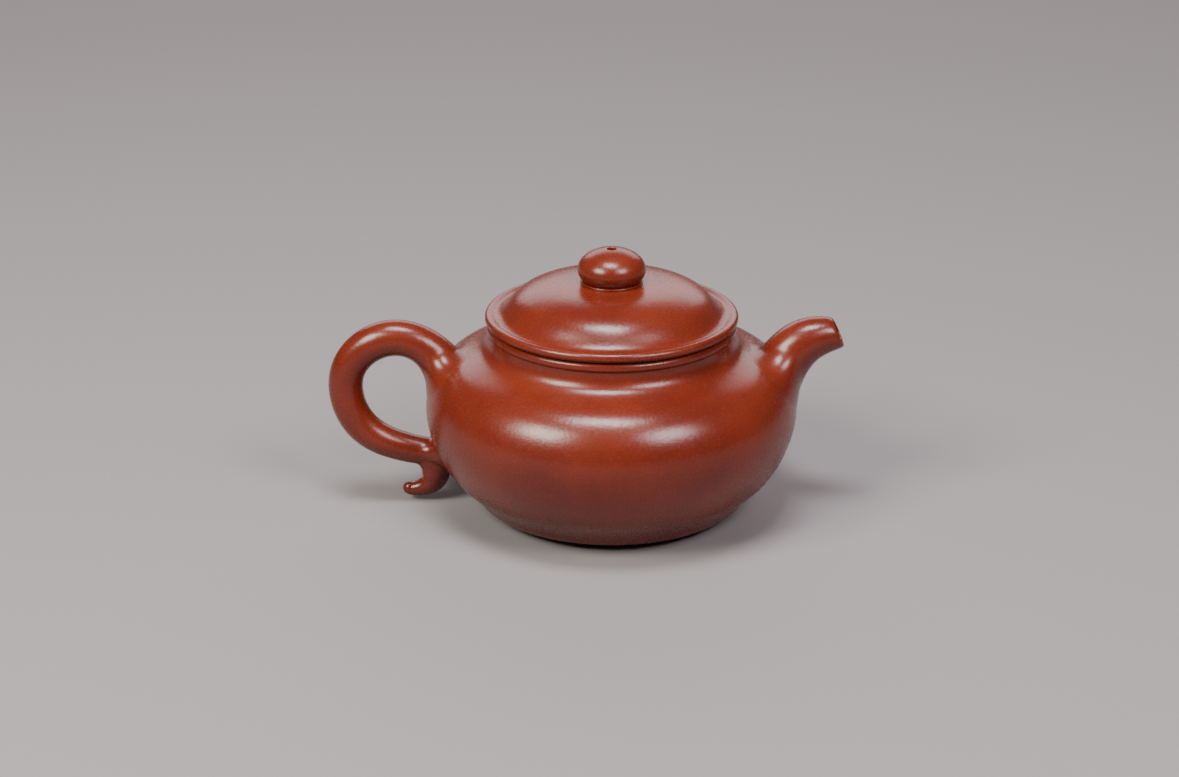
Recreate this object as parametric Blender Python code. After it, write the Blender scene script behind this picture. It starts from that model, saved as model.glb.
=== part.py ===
"""A round clay teapot with a lift-off lid, as the separate clay pieces that a potter joins with slip.

Every piece is shaped about the pot's own upright axis. +X is the spout's side, -X the handle's
side and +Z is up. Two empties carry the pieces: the pot's axis, and on it the lid's lift. The
frame's origin is the middle of the whole outline, on the surface that the pot stands on.
All sizes are in metres.
"""

import math

import bmesh
import bpy
import numpy as np
from mathutils import Matrix

MM = 0.001

# Pot body
BODY_RADIUS = 48.0 * MM  # widest radius of the belly
MOUTH_HEIGHT = 50.0 * MM  # top of the mouth rim, where the lid seats
WALL = 2.6 * MM
FOOT_RADIUS = 28.5 * MM
FOOT_WIDTH = 3.0 * MM
FOOT_HEIGHT = 1.2 * MM
BASE_LAP = 2.5 * MM  # how far the base disc reaches past the foot ring, to where the wall starts
BASE_CAMBER = 0.8 * MM  # rise of the base at its middle
THROAT_RADIUS = 31.5 * MM  # outside of the neck, under the mouth rim
NECK_HEIGHT = 4.2 * MM  # length of the neck ring, measured down from the mouth rim
RIM_THICKNESS = 2.4 * MM
MOUTH_RIM_OVERHANG = 0.6 * MM
RIM_ROUNDING = 1.0 * MM

# Lid
LID_OVERHANG = 0.4 * MM  # how far the lid's rim reaches past the mouth rim
LID_RIM_THICKNESS = 2.4 * MM
LID_RIM_WIDTH = 3.1 * MM
LID_WALL = 2.4 * MM
DOME_RISE = 8.0 * MM  # from the top of the lid's rim to the top of the dome
FLANGE_DEPTH = 8.5 * MM
FLANGE_WALL = 2.2 * MM
VENT_RADIUS = 1.2 * MM
COLLAR_RADIUS = 8.1 * MM
COLLAR_HEIGHT = 0.5 * MM
KNOB_RADIUS = 8.75 * MM
KNOB_HALF_HEIGHT = 5.45 * MM
KNOB_SEAT_DROP = 2.3 * MM  # from the knob's widest level down to its flat underside

# Handle
HANDLE_REACH = 26.5 * MM  # from the wall out to the guide points of the outer bend
HANDLE_RADIUS = 4.8 * MM  # the roll's radius at the top of its bend
HANDLE_LOWER_RADIUS = 3.7 * MM
HANDLE_ROOT_RADIUS = 7.3 * MM
TAIL_LENGTH = 9.4 * MM
TAIL_RADIUS = 4.2 * MM
TAIL_TIP_RADIUS = 1.7 * MM
TAIL_CLEARANCE = 1.5 * MM  # between the tail and the surface that the pot stands on

# Spout
SPOUT_REACH = 10.3 * MM  # from the belly's widest radius to the middle of the spout's mouth
SPOUT_MOUTH_DROP = 2.85 * MM  # middle of the spout's mouth, below the mouth rim's top
SPOUT_ROOT_RADIUS = 8.8 * MM
SPOUT_TIP_RADIUS = 3.9 * MM
SPOUT_ROOT_BORE = 5.6 * MM
SPOUT_TIP_BORE = 3.1 * MM
SPOUT_CUT_ANGLE = math.radians(18.0)  # how far the cut of the spout's mouth leans back
STRAINER_LAP = 2.2 * MM  # how far the strainer reaches past the spout's bore
STRAINER_WALL = 1.5 * MM
STRAINER_HOLE_RADIUS = 1.1 * MM

# Fits
SLIP_GAP = 0.3 * MM  # between two pieces that slip holds together
SEAT_GAP = 0.3 * MM  # between the lid's rim and the mouth rim
LID_CLEARANCE = 0.3 * MM  # radial, between the lid's flange and the mouth

# Fineness
SEGMENTS = 40  # round the pot's axis
KNOB_SEGMENTS = 24
TUBE_SIDES = 16
WELD = 0.001 * MM
OUTLINE_POINTS = 400  # the outline is read finely, and the pieces take their few points from it
SHARP_ANGLE = math.radians(35.0)

# Levels and radii that follow
RIM_BASE = MOUTH_HEIGHT - RIM_THICKNESS
THROAT_TOP = RIM_BASE - SLIP_GAP
MOUTH_RADIUS = THROAT_RADIUS - WALL
MOUTH_RIM_RADIUS = THROAT_RADIUS + MOUTH_RIM_OVERHANG
LID_SEAT = MOUTH_HEIGHT + SEAT_GAP
LID_RADIUS = MOUTH_RIM_RADIUS + LID_OVERHANG
LID_RIM_TOP = LID_SEAT + LID_RIM_THICKNESS
DOME_RADIUS = LID_RADIUS - LID_RIM_WIDTH - SLIP_GAP
DOME_TOP = LID_RIM_TOP + DOME_RISE
FLANGE_RADIUS = MOUTH_RADIUS - LID_CLEARANCE
COLLAR_BASE = DOME_TOP + SLIP_GAP
KNOB_BASE = COLLAR_BASE + COLLAR_HEIGHT + SLIP_GAP
KNOB_MIDDLE = KNOB_BASE + KNOB_SEAT_DROP

# Fired clays
BURNISHED = (0.33, 0.062, 0.025, 1.0)
PLAIN = (0.3, 0.075, 0.036, 1.0)


# ---- curves ----------------------------------------------------------------------------------


def smooth_curve(guides, count):
    """Points of a cubic B-spline that starts and ends on its first and last guide points."""
    guides = np.asarray(guides, float)
    spans = len(guides) - 3
    knots = np.concatenate([np.zeros(3), np.linspace(0.0, 1.0, spans + 1), np.ones(3)])
    at = np.linspace(0.0, 1.0 - 1e-9, count)[:, None]
    basis = ((knots[:-1] <= at) & (at < knots[1:])).astype(float)
    for degree in (1, 2, 3):
        span = knots[degree:] - knots[:-degree]
        share = np.where(span > 0, (at - knots[:-degree]) / np.where(span > 0, span, 1.0), 0.0)
        basis = share[:, :-1] * basis[:, :-1] + (1.0 - share[:, 1:]) * basis[:, 1:]
    return basis @ guides


def lengths_along(points):
    """Distance of each point from the first, measured along the line through them."""
    steps = np.hypot(*np.diff(points[:, :2], axis=0).T)
    return np.concatenate([[0.0], np.cumsum(steps)])


def offset(points, distance):
    """The line moved sideways, to the right of its direction for a positive distance."""
    run = np.gradient(points, axis=0)
    run /= np.hypot(*run.T)[:, None]
    return points + distance * np.stack([run[:, 1], -run[:, 0]], axis=1)


def arc(middle, radius, first, last, count):
    """Points of a circular arc between two angles in degrees."""
    turn = np.radians(np.linspace(first, last, count))
    return [(middle[0] + radius * math.cos(a), middle[1] + radius * math.sin(a)) for a in turn]


def wall_outline():
    """Outside of the pot, from the foot ring's edge up over the belly to the top of the throat.

    The guide points are shares of the way from the foot's radius to the belly's, or from the
    throat's to the belly's, and shares of the height from the base to the throat's top.
    """
    from_foot = BODY_RADIUS - FOOT_RADIUS
    from_throat = BODY_RADIUS - THROAT_RADIUS
    rise = THROAT_TOP - FOOT_HEIGHT
    lower = [(0.0, 0.0), (0.305, 0.0), (0.347, 0.09), (0.72, 0.189), (1.0, 0.441)]
    upper = [(1.028, 0.669), (0.592, 0.889), (0.0, 0.885), (0.0, 1.0)]
    guides = [(FOOT_RADIUS + out * from_foot, FOOT_HEIGHT + up * rise) for out, up in lower]
    guides += [(THROAT_RADIUS + out * from_throat, FOOT_HEIGHT + up * rise) for out, up in upper]
    return smooth_curve(guides, OUTLINE_POINTS)


OUTLINE = wall_outline()
OUTLINE_ALONG = lengths_along(OUTLINE)
UPPER_HALF = OUTLINE[:, 0].argmax()


def beside_outline(start, end, count, distance=0.0):
    """Points beside the outline, outwards for a positive distance, between two lengths along it."""
    at = np.linspace(start, end, count)
    moved = offset(OUTLINE, distance)
    return np.stack([np.interp(at, OUTLINE_ALONG, column) for column in moved.T], axis=1)


def length_at_radius(radius):
    """Length along the outline where its lower part reaches a radius."""
    return float(np.interp(radius, OUTLINE[:UPPER_HALF, 0], OUTLINE_ALONG[:UPPER_HALF]))


def length_at_height(height):
    """Length along the outline where it reaches a height."""
    return float(np.interp(height, OUTLINE[:, 1], OUTLINE_ALONG))


def outline_point(share):
    """A point of the outline, at a share of its height."""
    height = FOOT_HEIGHT + share * (THROAT_TOP - FOOT_HEIGHT)
    return beside_outline(length_at_height(height), 0.0, 1)[0]


BASE_END = length_at_radius(FOOT_RADIUS + BASE_LAP)
NECK_START = length_at_height(THROAT_TOP - NECK_HEIGHT)

# Stretches of the outline, as first length, last length and number of points. Whatever seats on
# the pot takes its face from the same stretches, so its facets lie along the pot's own.
BASE_STRETCH = (0.0, BASE_END, 3)
WALL_STRETCH = (BASE_END + SLIP_GAP, NECK_START - SLIP_GAP, 14)
NECK_STRETCH = (NECK_START, OUTLINE_ALONG[-1], 5)


# ---- solids ----------------------------------------------------------------------------------


def clay(name, colour, roughness):
    """A fired clay with its own colour and polish."""
    material = bpy.data.materials.new(name)
    material.use_nodes = True
    shader = material.node_tree.nodes["Principled BSDF"]
    shader.inputs["Base Color"].default_value = colour
    shader.inputs["Roughness"].default_value = roughness
    shader.inputs["Metallic"].default_value = 0.0
    return material


def piece(name, shape, carrier, colour=BURNISHED, roughness=0.35):
    """A named clay piece from a bmesh, carried by an empty and shaped about the pot's own axis."""
    bmesh.ops.remove_doubles(shape, verts=shape.verts, dist=WELD)
    bmesh.ops.recalc_face_normals(shape, faces=shape.faces)
    mesh = bpy.data.meshes.new(name)
    shape.to_mesh(mesh)
    shape.free()
    mesh.materials.append(clay(name, colour, roughness))
    mesh.shade_smooth()
    mesh.set_sharp_from_angle(angle=SHARP_ANGLE)
    made = bpy.data.objects.new(name, mesh)
    bpy.context.scene.collection.objects.link(made)
    made.parent = carrier
    made.location = -carrier.location
    return made


def guide(made):
    """Marks a solid that only cuts others."""
    made.hide_render = True
    made.display_type = "WIRE"
    return made


def combine(made, other, operation):
    """Cuts a solid by another one, or keeps what lies in both."""
    modifier = made.modifiers.new(f"{operation.lower()} {other.name}", "BOOLEAN")
    modifier.operation = operation
    modifier.solver = "EXACT"
    modifier.object = other


def turned(section, segments=SEGMENTS):
    """A section of (radius, height) points, spun once round the pot's axis.

    A section that starts and ends on the axis stays open there; any other is closed.
    """
    shape = bmesh.new()
    corners = [shape.verts.new((radius, 0.0, height)) for radius, height in section]
    on_axis = section[0][0] < WELD and section[-1][0] < WELD
    following = corners[1:] if on_axis else corners[1:] + corners[:1]
    edges = [shape.edges.new(pair) for pair in zip(corners, following)]
    bmesh.ops.spin(
        shape,
        geom=corners + edges,
        cent=(0.0, 0.0, 0.0),
        axis=(0.0, 0.0, 1.0),
        angle=math.tau,
        steps=segments,
        use_merge=True,
    )
    return shape


def swept(path, cut_angle=0.0, round_end=False):
    """A round roll along a path of (x, z, radius) points in the pot's upright middle plane.

    A cut angle leans the last rings back, most at the end, and a round end closes in a dome.
    """
    path = np.asarray(path)
    run = np.gradient(path[:, :2], axis=0)
    run /= np.hypot(*run.T)[:, None]
    if round_end:
        dome = np.radians([22.5, 45.0, 67.5, 82.0])
        tip = path[-1, :2] + path[-1, 2] * np.sin(dome)[:, None] * run[-1]
        path = np.vstack([path, np.column_stack([tip, path[-1, 2] * np.cos(dome)])])
        run = np.vstack([run, np.repeat(run[-1:], len(dome), axis=0)])
    shape = bmesh.new()
    rings = []
    for step, ((x, z, radius), (run_x, run_z)) in enumerate(zip(path, run)):
        share = step / (len(path) - 1)
        lean = math.tan(cut_angle) * max(0.0, 3.0 * share - 2.0) ** 2
        ring = []
        for side in range(TUBE_SIDES):
            turn = math.tau * side / TUBE_SIDES
            up = radius * math.cos(turn)
            across = radius * math.sin(turn)
            ring.append(
                shape.verts.new(
                    (
                        x - up * run_z - lean * up * run_x,
                        across,
                        z + up * run_x - lean * up * run_z,
                    )
                )
            )
        rings.append(ring)
    for ring, following in zip(rings, rings[1:]):
        for side in range(TUBE_SIDES):
            beside = (side + 1) % TUBE_SIDES
            shape.faces.new((ring[side], ring[beside], following[beside], following[side]))
    shape.faces.new(rings[0])
    shape.faces.new(rings[-1])
    return shape


def shell_section(stretch):
    """Section of the pot's shell along a stretch of its outline."""
    outside = beside_outline(*stretch)
    inside = beside_outline(*stretch, -WALL)
    return [tuple(point) for point in outside] + [tuple(point) for point in inside[::-1]]


def filled_section(stretches, distance):
    """Section of a solid whose side runs beside stretches of the outline, out to its axis."""
    side = np.vstack([beside_outline(*stretch, distance) for stretch in stretches])
    return [(0.0, side[0][1]), *[tuple(point) for point in side], (0.0, side[-1][1])]


# ---- the pot ---------------------------------------------------------------------------------


def foot_ring(pot):
    """Low ring that the pot stands on, with a flat face and eased edges."""
    inner = FOOT_RADIUS - FOOT_WIDTH
    ease = 0.4 * (FOOT_HEIGHT - SLIP_GAP)
    top = FOOT_HEIGHT - SLIP_GAP
    section = [(inner, top), (inner, ease), (inner + ease, 0.0)]
    section += arc((FOOT_RADIUS - ease, ease), ease, -90.0, 0.0, 3)
    section += [(FOOT_RADIUS, top)]
    return piece("foot_ring", turned(section), pot, PLAIN, 0.55)


def base_disc(pot):
    """Floor of the pot, slightly cambered, whose edge starts the curve of the wall."""
    flat = FOOT_RADIUS - FOOT_WIDTH
    section = [(0.0, FOOT_HEIGHT + BASE_CAMBER), (0.5 * flat, FOOT_HEIGHT + 0.75 * BASE_CAMBER)]
    section += [(flat, FOOT_HEIGHT)]
    section += shell_section(BASE_STRETCH)
    section += [(flat, FOOT_HEIGHT + WALL), (0.5 * flat, FOOT_HEIGHT + WALL + 0.75 * BASE_CAMBER)]
    section += [(0.0, FOOT_HEIGHT + WALL + BASE_CAMBER)]
    return piece("base_disc", turned(section), pot, PLAIN, 0.5)


def body_wall(pot, bore):
    """Round wall of the pot, from the base disc to the neck, with the hole behind the spout."""
    wall = piece("body_wall", turned(shell_section(WALL_STRETCH)), pot)
    combine(wall, bore, "DIFFERENCE")
    return wall


def neck_ring(pot):
    """Coil that carries the shoulder up into the throat."""
    return piece("neck_ring", turned(shell_section(NECK_STRETCH)), pot)


def mouth_rim(pot):
    """Flat ring round the mouth that the lid rests on, with a rounded outer edge."""
    middle_top = (MOUTH_RIM_RADIUS - RIM_ROUNDING, MOUTH_HEIGHT - RIM_ROUNDING)
    middle_base = (MOUTH_RIM_RADIUS - RIM_ROUNDING, RIM_BASE + RIM_ROUNDING)
    section = [(MOUTH_RADIUS, MOUTH_HEIGHT), (MOUTH_RADIUS, RIM_BASE)]
    section += arc(middle_base, RIM_ROUNDING, -90.0, 0.0, 4)
    section += arc(middle_top, RIM_ROUNDING, 0.0, 90.0, 4)
    return piece("mouth_rim", turned(section), pot)


# ---- spout and strainer ----------------------------------------------------------------------


def spout_path(root_radius, tip_radius, count):
    """Middle line of the spout with its radius, from inside the wall to the mouth."""
    root = outline_point(0.79)
    reach = BODY_RADIUS + SPOUT_REACH - root[0]
    rise = MOUTH_HEIGHT - SPOUT_MOUTH_DROP - root[1]
    places = [
        (-0.363, -1.13),
        (-0.295, -0.834),
        (-0.129, -0.203),
        (0.296, 0.812),
        (0.795, 0.968),
        (1.0, 1.0),
    ]
    narrowing = [1.0, 1.0, 0.62, 0.49, 0.18, 0.0]
    guides = [
        (root[0] + out * reach, root[1] + up * rise, tip_radius + share * (root_radius - tip_radius))
        for (out, up), share in zip(places, narrowing)
    ]
    return smooth_curve(guides, count)


def spout_bore(pot):
    """The way through the spout and the wall behind it, longer than both."""
    path = spout_path(SPOUT_ROOT_BORE, SPOUT_TIP_BORE, 18)
    first_run = path[0] - path[1]
    last_run = path[-1] - path[-2]
    path = np.vstack([path[0] + 2.0 * first_run, path, path[-1] + 1.2 * last_run])
    return guide(piece("spout_bore_guide", swept(path), pot))


def wall_guide(pot, gap):
    """The pot's whole outline as a solid, larger by a gap, that cuts what is luted onto it."""
    section = filled_section((BASE_STRETCH, WALL_STRETCH, NECK_STRETCH), gap)
    return guide(piece("wall_guide", turned(section), pot))


def spout(pot, wall, bore):
    """Hollow curved spout, flared where it meets the shoulder and cut off at a lean."""
    path = spout_path(SPOUT_ROOT_RADIUS, SPOUT_TIP_RADIUS, 18)
    made = piece("spout", swept(path, cut_angle=SPOUT_CUT_ANGLE), pot)
    combine(made, wall, "DIFFERENCE")
    combine(made, bore, "DIFFERENCE")
    return made


def ball(name, middle, radius, pot):
    """A round solid of plain clay."""
    shape = bmesh.new()
    bmesh.ops.create_uvsphere(shape, u_segments=TUBE_SIDES, v_segments=10, radius=radius)
    bmesh.ops.translate(shape, verts=shape.verts, vec=middle)
    return piece(name, shape, pot, PLAIN, 0.5)


def strainer_holes(middle, inward, reach, pot):
    """Pins that pierce the strainer: one along its middle and two rings round it."""
    shape = bmesh.new()
    rings = [(0.0, 1), (math.radians(27.0), 6), (math.radians(54.0), 11)]
    base = math.atan2(inward[1], inward[0])
    for tilt, count in rings:
        for number in range(count):
            turn = math.tau * number / count
            along = math.cos(tilt)
            up = math.sin(tilt) * math.cos(turn)
            across = math.sin(tilt) * math.sin(turn)
            pin = bmesh.ops.create_cone(
                shape,
                cap_ends=True,
                segments=8,
                radius1=STRAINER_HOLE_RADIUS,
                radius2=STRAINER_HOLE_RADIUS,
                depth=0.6 * reach,
            )["verts"]
            x = along * math.cos(base) - up * math.sin(base)
            z = along * math.sin(base) + up * math.cos(base)
            yaw = math.atan2(across, x)
            pitch = math.acos(max(-1.0, min(1.0, z)))
            bmesh.ops.translate(shape, verts=pin, vec=(0.0, 0.0, reach))
            bmesh.ops.rotate(shape, verts=pin, matrix=Matrix.Rotation(pitch, 3, "Y"))
            bmesh.ops.rotate(shape, verts=pin, matrix=Matrix.Rotation(yaw, 3, "Z"))
            bmesh.ops.translate(shape, verts=pin, vec=middle)
    return guide(piece("strainer_holes_guide", shape, pot))


def strainer(pot):
    """Pierced dome luted over the spout's hole, on the inside of the wall."""
    section = filled_section((WALL_STRETCH,), -(WALL + SLIP_GAP))
    cavity = guide(piece("cavity_guide", turned(section), pot))
    path = spout_path(SPOUT_ROOT_BORE, SPOUT_TIP_BORE, 200)
    heights = np.interp(path[:, 0], OUTLINE[UPPER_HALF:, 0][::-1], OUTLINE[UPPER_HALF:, 1][::-1])
    crossing = int(np.argmax(path[:, 1] > heights - WALL))
    middle = (path[crossing, 0], 0.0, path[crossing, 1])
    run = path[crossing, :2] - path[crossing + 1, :2]
    inward = run / np.hypot(*run)
    radius = SPOUT_ROOT_BORE + STRAINER_LAP
    made = ball("spout_strainer", middle, radius, pot)
    combine(made, cavity, "INTERSECT")
    combine(made, guide(ball("strainer_hollow_guide", middle, radius - STRAINER_WALL, pot)), "DIFFERENCE")
    combine(made, strainer_holes(middle, inward, radius, pot), "DIFFERENCE")
    return made


# ---- handle ----------------------------------------------------------------------------------


def handle_path(swell, count):
    """Middle line of the handle with its radius, from one root inside the wall to the other."""
    lower = outline_point(0.235)
    upper = outline_point(0.79)
    rows = [
        (0.66, -0.148, 1.16 * HANDLE_ROOT_RADIUS),
        (0.754, -0.125, HANDLE_ROOT_RADIUS),
        (1.2, 0.009, 0.93 * HANDLE_RADIUS),
        (1.386, 0.526, HANDLE_RADIUS),
        (0.98, 1.021, 0.92 * HANDLE_RADIUS),
        (0.32, 0.896, 1.21 * HANDLE_LOWER_RADIUS),
        (0.11, 0.462, 1.05 * HANDLE_LOWER_RADIUS),
        (0.049, 0.085, 0.96 * HANDLE_LOWER_RADIUS),
        (0.03, -0.08, HANDLE_LOWER_RADIUS),
        (0.05, -0.33, 0.9 * HANDLE_LOWER_RADIUS),
    ]
    guides = [
        (
            -(lower[0] + rise * (upper[0] - lower[0]) + out * HANDLE_REACH),
            lower[1] + rise * (upper[1] - lower[1]),
            radius + swell,
        )
        for rise, out, radius in rows
    ]
    return smooth_curve(guides, count)


def handle(pot, wall):
    """Ear-shaped roll of clay, thick at its upper root and tapering round to the lower one."""
    made = piece("handle", swept(handle_path(0.0, 36)), pot)
    combine(made, wall, "DIFFERENCE")
    return made


def handle_tail(pot, wall):
    """Small tapered roll under the handle's lower root that curls outwards to a blunt tip."""
    lower = outline_point(0.235)
    level = TAIL_CLEARANCE + TAIL_TIP_RADIUS
    drop = lower[1] - level
    rows = [
        (0.17, 1.22, 0.5 * TAIL_RADIUS),
        (0.25, 1.05, 0.75 * TAIL_RADIUS),
        (0.27, 0.66, 1.06 * TAIL_RADIUS),
        (0.41, 0.03, 1.5 * TAIL_TIP_RADIUS),
        (1.04, -0.03, 1.03 * TAIL_TIP_RADIUS),
        (1.06, 0.02, 0.95 * TAIL_TIP_RADIUS),
    ]
    guides = [(-(lower[0] + out * TAIL_LENGTH), level + up * drop, radius) for out, up, radius in rows]
    made = piece("handle_tail", swept(smooth_curve(guides, 14), round_end=True), pot)
    roll = guide(piece("handle_guide", swept(handle_path(SLIP_GAP, 36)), pot))
    combine(made, wall, "DIFFERENCE")
    combine(made, roll, "DIFFERENCE")
    return made


# ---- the lid ---------------------------------------------------------------------------------


def dome_line(radius, foot, top, count):
    """Half outline of a dome: level over the middle, then round and down to its foot."""
    rise = top - foot
    shares = [(0.31, 1.0), (0.63, 0.94), (0.87, 0.53), (0.945, 0.04), (1.0, 0.0)]
    guides = [(VENT_RADIUS, top)]
    guides += [(radius * out, foot + up * rise) for out, up in shares]
    return [tuple(point) for point in smooth_curve(guides, count)]


def lid_dome(lid):
    """Domed disc of the lid, open in the middle for the vent."""
    outside = dome_line(DOME_RADIUS, LID_RIM_TOP, DOME_TOP, 12)
    hollow = dome_line(FLANGE_RADIUS - FLANGE_WALL, LID_SEAT, DOME_TOP - LID_WALL, 8)
    return piece("lid_dome", turned(hollow + [(DOME_RADIUS, LID_SEAT)] + outside[::-1]), lid)


def lid_rim(lid):
    """Flat band round the dome, with a rounded outer edge, that rests on the mouth rim."""
    middle_top = (LID_RADIUS - RIM_ROUNDING, LID_RIM_TOP - RIM_ROUNDING)
    middle_base = (LID_RADIUS - RIM_ROUNDING, LID_SEAT + RIM_ROUNDING)
    inner = DOME_RADIUS + SLIP_GAP
    section = [(inner, LID_RIM_TOP), (inner, LID_SEAT)]
    section += arc(middle_base, RIM_ROUNDING, -90.0, 0.0, 4)
    section += arc(middle_top, RIM_ROUNDING, 0.0, 90.0, 4)
    return piece("lid_rim", turned(section), lid)


def lid_flange(lid):
    """Ring under the lid that drops into the mouth and keeps the lid in place."""
    top = LID_SEAT - SLIP_GAP
    foot = LID_SEAT - FLANGE_DEPTH
    inner = FLANGE_RADIUS - FLANGE_WALL
    ease = 0.25 * FLANGE_WALL
    section = [(inner, top), (inner, foot + ease), (inner + ease, foot)]
    section += [(FLANGE_RADIUS - ease, foot), (FLANGE_RADIUS, foot + ease), (FLANGE_RADIUS, top)]
    return piece("lid_flange", turned(section), lid, PLAIN, 0.5)


def knob_collar(lid):
    """Thin rounded ring between the dome and the knob."""
    half = 0.5 * COLLAR_HEIGHT
    section = [(VENT_RADIUS, COLLAR_BASE)]
    section += arc((COLLAR_RADIUS - half, COLLAR_BASE + half), half, -90.0, 90.0, 7)
    section += [(VENT_RADIUS, COLLAR_BASE + COLLAR_HEIGHT)]
    return piece("knob_collar", turned(section, KNOB_SEGMENTS), lid)


def knob(lid):
    """Flattened ball with the vent down its middle."""
    first = math.asin(-KNOB_SEAT_DROP / KNOB_HALF_HEIGHT)
    last = math.acos(VENT_RADIUS / KNOB_RADIUS)
    turn = np.linspace(first, last, 12)
    section = [(VENT_RADIUS, KNOB_BASE)]
    section += [
        (KNOB_RADIUS * math.cos(a), KNOB_MIDDLE + KNOB_HALF_HEIGHT * math.sin(a)) for a in turn
    ]
    return piece("knob", turned(section, KNOB_SEGMENTS), lid)


# ---- assembly --------------------------------------------------------------------------------


def carrier(name, height, parent=None):
    """An empty that carries pieces, at a height on the pot's axis."""
    made = bpy.data.objects.new(name, None)
    bpy.context.scene.collection.objects.link(made)
    made.location = (0.0, 0.0, height)
    made.parent = parent
    return made


def middle_of(pieces):
    """Half way between the lowest and the highest X of finished pieces."""
    bpy.context.view_layer.update()
    seen = bpy.context.evaluated_depsgraph_get()
    ends = []
    for made in pieces:
        shape = made.evaluated_get(seen).to_mesh()
        ends += [(made.matrix_world @ corner.co).x for corner in shape.vertices]
    return 0.5 * (min(ends) + max(ends))


def build():
    """Makes every piece, then moves the pot's axis so that the whole outline is centred."""
    for old in list(bpy.data.objects):
        bpy.data.objects.remove(old, do_unlink=True)
    pot = carrier("pot_axis", 0.0)
    lid = carrier("lid_lift", LID_SEAT, pot)
    bore = spout_bore(pot)
    wall = wall_guide(pot, SLIP_GAP)
    foot_ring(pot)
    base_disc(pot)
    body_wall(pot, bore)
    neck_ring(pot)
    mouth_rim(pot)
    strainer(pot)
    ends = [spout(pot, wall, bore), handle(pot, wall)]
    handle_tail(pot, wall)
    lid_dome(lid)
    lid_rim(lid)
    lid_flange(lid)
    knob_collar(lid)
    knob(lid)
    pot.location.x = -middle_of(ends)


build()
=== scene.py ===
"""Finished clay pieces for a round teapot, shaped about the pot's own upright axis.

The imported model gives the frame: +X is the spout's side, -X the handle's side and +Z is up. Every
piece is a surface of two parameters, worked out as whole arrays: sections turned round the axis
for the pot, the lid and the knob, and rolls swept along a line for the spout, the handle and the
tail. Sizes are in metres.
"""

import math

import bmesh
import bpy
import numpy as np
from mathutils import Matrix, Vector


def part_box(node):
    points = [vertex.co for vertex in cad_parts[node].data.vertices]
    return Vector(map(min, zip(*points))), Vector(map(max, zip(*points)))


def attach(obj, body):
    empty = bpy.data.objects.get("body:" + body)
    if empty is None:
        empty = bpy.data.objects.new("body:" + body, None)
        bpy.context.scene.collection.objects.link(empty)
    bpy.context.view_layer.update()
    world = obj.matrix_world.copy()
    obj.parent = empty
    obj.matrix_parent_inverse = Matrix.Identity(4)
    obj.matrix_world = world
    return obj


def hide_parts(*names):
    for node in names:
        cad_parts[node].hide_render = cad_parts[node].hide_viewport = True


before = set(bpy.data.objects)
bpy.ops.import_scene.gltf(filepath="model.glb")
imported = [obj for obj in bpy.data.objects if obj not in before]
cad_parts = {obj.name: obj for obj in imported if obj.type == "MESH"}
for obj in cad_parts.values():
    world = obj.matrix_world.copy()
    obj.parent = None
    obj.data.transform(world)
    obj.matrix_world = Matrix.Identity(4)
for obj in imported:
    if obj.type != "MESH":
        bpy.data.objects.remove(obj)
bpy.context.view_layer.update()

bl_info = {
    "name": "Round clay teapot",
    "version": (1, 0, 0),
    "blender": (4, 5, 0),
    "location": "3D View > Sidebar > Teapot",
    "description": "Burnished clay teapot with a lift-off lid, and the studio that it stands in",
    "category": "Object",
}

MM = 0.001
POLE = 1e-7  # points closer than this are one point
SHARP_ANGLE = math.radians(40.0)
# Levels at which the rolls leave the wall, as shares of the way from the base to the throat.
UPPER_ROOTS = 0.79  # the spout, and the handle's upper end
LOWER_ROOT = 0.235  # the handle's lower end
WALL_TURNS = 176  # steps once round the pot's axis
BASE_TURNS = 128
LID_TURNS = 160
FLANGE_TURNS = 144
KNOB_TURNS = 112


# ---- places read from the frame --------------------------------------------------------------


def middle_x(node):
    """Half way between a node's lowest and highest X."""
    low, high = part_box(node)
    return 0.5 * (low.x + high.x)


def radius_of(node):
    """Half of a node's width across the pot, which is its radius if it is round."""
    low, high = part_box(node)
    return 0.5 * (high.y - low.y)


def levels_of(node):
    """Lowest and highest level of a node."""
    low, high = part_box(node)
    return low.z, high.z


AXIS_X = middle_x("mouth_rim")
FOOT_RADIUS = radius_of("foot_ring")
FOOT_TOP = levels_of("base_disc")[0]
BASE_TOP = levels_of("base_disc")[1]
RIM_BASE, MOUTH_HEIGHT = levels_of("mouth_rim")
MOUTH_RIM_RADIUS = radius_of("mouth_rim")
THROAT_TOP = levels_of("neck_ring")[1]
LID_SEAT, LID_RIM_TOP = levels_of("lid_rim")
LID_RADIUS = radius_of("lid_rim")
DOME_RADIUS = radius_of("lid_dome")
DOME_TOP = levels_of("lid_dome")[1]
FLANGE_FOOT = levels_of("lid_flange")[0]
FLANGE_RADIUS = radius_of("lid_flange")
COLLAR_RADIUS = radius_of("knob_collar")
KNOB_TOP = levels_of("knob")[1]
KNOB_RADIUS = radius_of("knob")


# ---- settings --------------------------------------------------------------------------------


def length(name, description, millimetres):
    """A length that a user can change."""
    return bpy.props.FloatProperty(
        name=name,
        description=description,
        default=millimetres * MM,
        min=0.0,
        unit="LENGTH",
        subtype="DISTANCE",
        precision=5,
    )


def share(name, description, default):
    """A plain number from 0 to 1 that a user can change."""
    return bpy.props.FloatProperty(
        name=name, description=description, default=default, min=0.0, max=1.0, subtype="FACTOR"
    )


def colour(name, description, default):
    """A linear colour that a user can change."""
    return bpy.props.FloatVectorProperty(
        name=name,
        description=description,
        default=default,
        min=0.0,
        max=1.0,
        size=3,
        subtype="COLOR",
    )


def power(name, description, watts):
    """The power of a soft box."""
    return bpy.props.FloatProperty(
        name=name, description=description, default=watts, min=0.0, unit="POWER"
    )


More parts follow.
